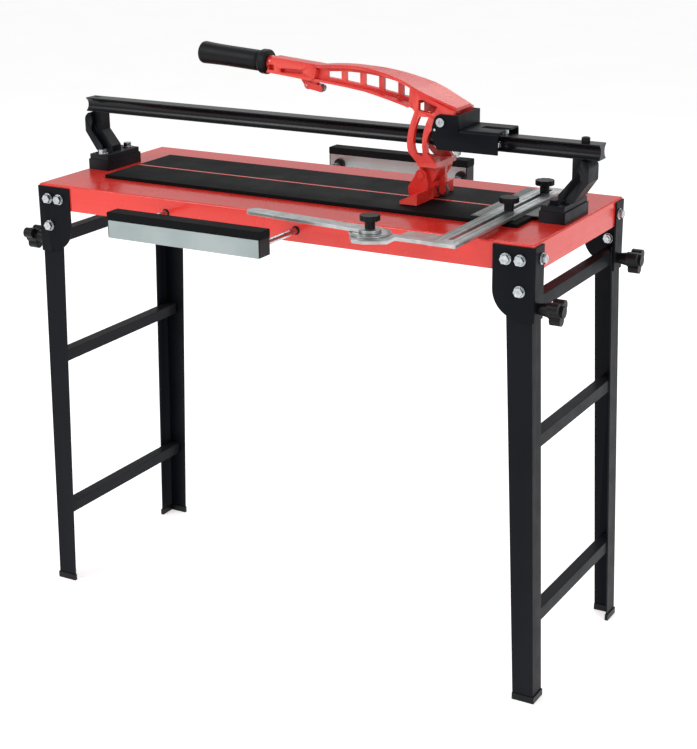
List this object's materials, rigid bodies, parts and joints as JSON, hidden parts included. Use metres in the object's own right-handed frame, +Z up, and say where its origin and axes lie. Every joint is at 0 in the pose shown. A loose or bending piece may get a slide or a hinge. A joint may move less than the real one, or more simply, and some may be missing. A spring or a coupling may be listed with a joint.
{
  "type": "tile cutter",
  "caption": "Manual tile cutter on a folding stand, with a rail, a rolling scoring and breaking carriage, sliding tile supports and an adjustable angle square.",
  "frame": {"origin": "on the floor, under the middle of the table", "axes": "+X to the right along the cut, +Y to the back, +Z up"},
  "size_m": [0.98, 0.618, 0.9539],
  "materials": {
    "red_paint": "gloss red powder coat",
    "red_casting": "gloss red paint on a casting",
    "black_paint": "satin black powder coat",
    "black_casting": "satin black paint on a casting",
    "rail_black": "black anodised extrusion",
    "pad_rubber": "matt black rubber",
    "grip_rubber": "matt black moulded rubber",
    "zinc_plate": "zinc plated steel",
    "square_aluminium": "cast and ground aluminium",
    "profile_aluminium": "extruded aluminium",
    "bearing_steel": "ground bearing steel",
    "black_plastic": "matt black moulded plastic",
    "tool_steel": "ground tool steel"
  },
  "bodies": {
    "root": {"table_top": "red_paint", "breaking_rib": "red_paint", "front_pad": "pad_rubber", "rear_pad": "pad_rubber", "corner_brackets": "black_paint", "bracket_bolts": "zinc_plate", "table_nuts": "zinc_plate", "post_bases": "black_casting", "left_post": "black_casting", "right_post": "black_casting", "post_bolts": "zinc_plate", "guide_rail": "rail_black", "rail_stop": "black_plastic", "scale_plate": "square_aluminium", "guide_studs": "zinc_plate", "rod_grommets": "black_plastic", "guide_channels": "black_paint"},
    "carriage": {"carriage_body": "black_paint", "bearing_axles": "zinc_plate", "lever_pivot_bolt": "zinc_plate", "carriage_screws": "zinc_plate"},
    "lever": {"lever_arm": "red_casting", "lever_grip": "grip_rubber", "head_pins": "zinc_plate", "wheel_holder": "red_casting"},
    "link": {"rest_link": "red_casting"},
    "roller": {"rest_roller": "tool_steel"},
    "foot": {"breaking_foot": "red_casting"},
    "wheel": {"scoring_wheel": "tool_steel"},
    "left_frame": {"left_legs": "black_paint", "left_braces": "black_paint", "left_foot_caps": "black_plastic"},
    "right_frame": {"right_legs": "black_paint", "right_braces": "black_paint", "right_foot_caps": "black_plastic"},
    "front_support": {"front_support_profile": "profile_aluminium", "front_support_pad": "pad_rubber", "front_support_caps": "black_plastic", "front_support_rods": "zinc_plate"},
    "rear_support": {"rear_support_profile": "profile_aluminium", "rear_support_pad": "pad_rubber", "rear_support_caps": "black_plastic", "rear_support_rods": "zinc_plate"},
    "fence": {"fence_square": "square_aluminium", "protractor": "square_aluminium"},
    "arm": {"fence_arm": "square_aluminium"},
    "bearing_front_left": {"bearing_front_left": "bearing_steel"},
    "bearing_front_right": {"bearing_front_right": "bearing_steel"},
    "bearing_rear_left": {"bearing_rear_left": "bearing_steel"},
    "bearing_rear_right": {"bearing_rear_right": "bearing_steel"},
    "fence_knob_front": {"fence_knob_front": "black_plastic"},
    "fence_knob_rear": {"fence_knob_rear": "black_plastic"},
    "arm_knob": {"arm_knob": "black_plastic"},
    "lock_knob_front_left": {"lock_knob_front_left": "black_plastic"},
    "lock_knob_front_right": {"lock_knob_front_right": "black_plastic"},
    "lock_knob_rear_left": {"lock_knob_rear_left": "black_plastic"},
    "lock_knob_rear_right": {"lock_knob_rear_right": "black_plastic"},
    "front_support_lock": {"front_support_lock": "black_plastic"},
    "rear_support_lock": {"rear_support_lock": "black_plastic"}
  },
  "joints": [
    {"name": "carriage_slide", "type": "slide", "parent": "root", "child": "carriage", "axis": [1, 0, 0], "range_m": [-0.54, 0.095]},
    {"name": "lever_lift", "type": "hinge", "parent": "carriage", "child": "lever", "pos_m": [0.231, 0, 0.8632], "axis": [0, 1, 0], "range_deg": [0, 20]},
    {"name": "foot_swing", "type": "hinge", "parent": "lever", "child": "foot", "pos_m": [0.193, 0, 0.7764], "axis": [0, 1, 0], "range_deg": [-20, 0]},
    {"name": "scoring_wheel_spin", "type": "hinge", "parent": "lever", "child": "wheel", "pos_m": [0.217, 0, 0.7499], "axis": [0, 1, 0], "continuous": true},
    {"name": "rest_link_fold", "type": "hinge", "parent": "lever", "child": "link", "pos_m": [-0.023, 0, 0.897], "axis": [0, 1, 0], "range_deg": [0, 70]},
    {"name": "rest_roller_spin", "type": "hinge", "parent": "link", "child": "roller", "pos_m": [0, 0, 0.8931], "axis": [0, 1, 0], "continuous": true},
    {"name": "bearing_front_left_spin", "type": "hinge", "parent": "carriage", "child": "bearing_front_left", "pos_m": [0.275, -0.01885, 0.83375], "axis": [0, 0, 1], "continuous": true},
    {"name": "bearing_front_right_spin", "type": "hinge", "parent": "carriage", "child": "bearing_front_right", "pos_m": [0.312, -0.01885, 0.83375], "axis": [0, 0, 1], "continuous": true},
    {"name": "bearing_rear_left_spin", "type": "hinge", "parent": "carriage", "child": "bearing_rear_left", "pos_m": [0.275, 0.01885, 0.83375], "axis": [0, 0, 1], "continuous": true},
    {"name": "bearing_rear_right_spin", "type": "hinge", "parent": "carriage", "child": "bearing_rear_right", "pos_m": [0.312, 0.01885, 0.83375], "axis": [0, 0, 1], "continuous": true},
    {"name": "left_leg_fold", "type": "hinge", "parent": "root", "child": "left_frame", "pos_m": [-0.4275, 0, 0.6594], "axis": [0, -1, 0], "range_deg": [0, 68]},
    {"name": "right_leg_fold", "type": "hinge", "parent": "root", "child": "right_frame", "pos_m": [0.4275, 0, 0.6594], "axis": [0, 1, 0], "range_deg": [0, 90]},
    {"name": "front_support_slide", "type": "slide", "parent": "root", "child": "front_support", "axis": [0, 1, 0], "range_m": [0, 0.1]},
    {"name": "rear_support_slide", "type": "slide", "parent": "root", "child": "rear_support", "axis": [0, -1, 0], "range_m": [0, 0.1]},
    {"name": "fence_slide", "type": "slide", "parent": "root", "child": "fence", "axis": [0, 1, 0], "range_m": [-0.015, 0.1]},
    {"name": "fence_arm_swing", "type": "hinge", "parent": "fence", "child": "arm", "pos_m": [0.22, -0.24, 0.735], "axis": [0, 0, -1], "range_deg": [-40, 45]},
    {"name": "fence_knob_front_turn", "type": "hinge", "parent": "root", "child": "fence_knob_front", "pos_m": [0.35, -0.046, 0.754], "axis": [0, 0, 1], "range_deg": [0, 360]},
    {"name": "fence_knob_rear_turn", "type": "hinge", "parent": "root", "child": "fence_knob_rear", "pos_m": [0.35, 0.088, 0.754], "axis": [0, 0, 1], "range_deg": [0, 360]},
    {"name": "arm_knob_turn", "type": "hinge", "parent": "fence", "child": "arm_knob", "pos_m": [0.22, -0.24, 0.75], "axis": [0, 0, 1], "range_deg": [0, 360]},
    {"name": "lock_knob_front_left_turn", "type": "hinge", "parent": "root", "child": "lock_knob_front_left", "pos_m": [-0.46, -0.158, 0.6324], "axis": [-1, 0, 0], "range_deg": [0, 360]},
    {"name": "lock_knob_front_right_turn", "type": "hinge", "parent": "root", "child": "lock_knob_front_right", "pos_m": [0.46, -0.158, 0.6324], "axis": [1, 0, 0], "range_deg": [0, 360]},
    {"name": "lock_knob_rear_left_turn", "type": "hinge", "parent": "root", "child": "lock_knob_rear_left", "pos_m": [-0.46, 0.158, 0.6324], "axis": [-1, 0, 0], "range_deg": [0, 360]},
    {"name": "lock_knob_rear_right_turn", "type": "hinge", "parent": "root", "child": "lock_knob_rear_right", "pos_m": [0.46, 0.158, 0.6324], "axis": [1, 0, 0], "range_deg": [0, 360]},
    {"name": "front_support_lock_turn", "type": "hinge", "parent": "root", "child": "front_support_lock", "pos_m": [0.053, -0.049, 0.685], "axis": [0, 0, 1], "range_deg": [0, 360]},
    {"name": "rear_support_lock_turn", "type": "hinge", "parent": "root", "child": "rear_support_lock", "pos_m": [0.1115, 0.049, 0.685], "axis": [0, 0, 1], "range_deg": [0, 360]}
  ],
  "couplings": [
    {"joint": "foot_swing", "follows": "lever_lift", "ratio": -1},
    {"joint": "bearing_front_left_spin", "follows": "carriage_slide", "rad_per_m": -90.909},
    {"joint": "bearing_front_right_spin", "follows": "carriage_slide", "rad_per_m": -90.909},
    {"joint": "bearing_rear_left_spin", "follows": "carriage_slide", "rad_per_m": 90.909},
    {"joint": "bearing_rear_right_spin", "follows": "carriage_slide", "rad_per_m": 90.909}
  ]
}
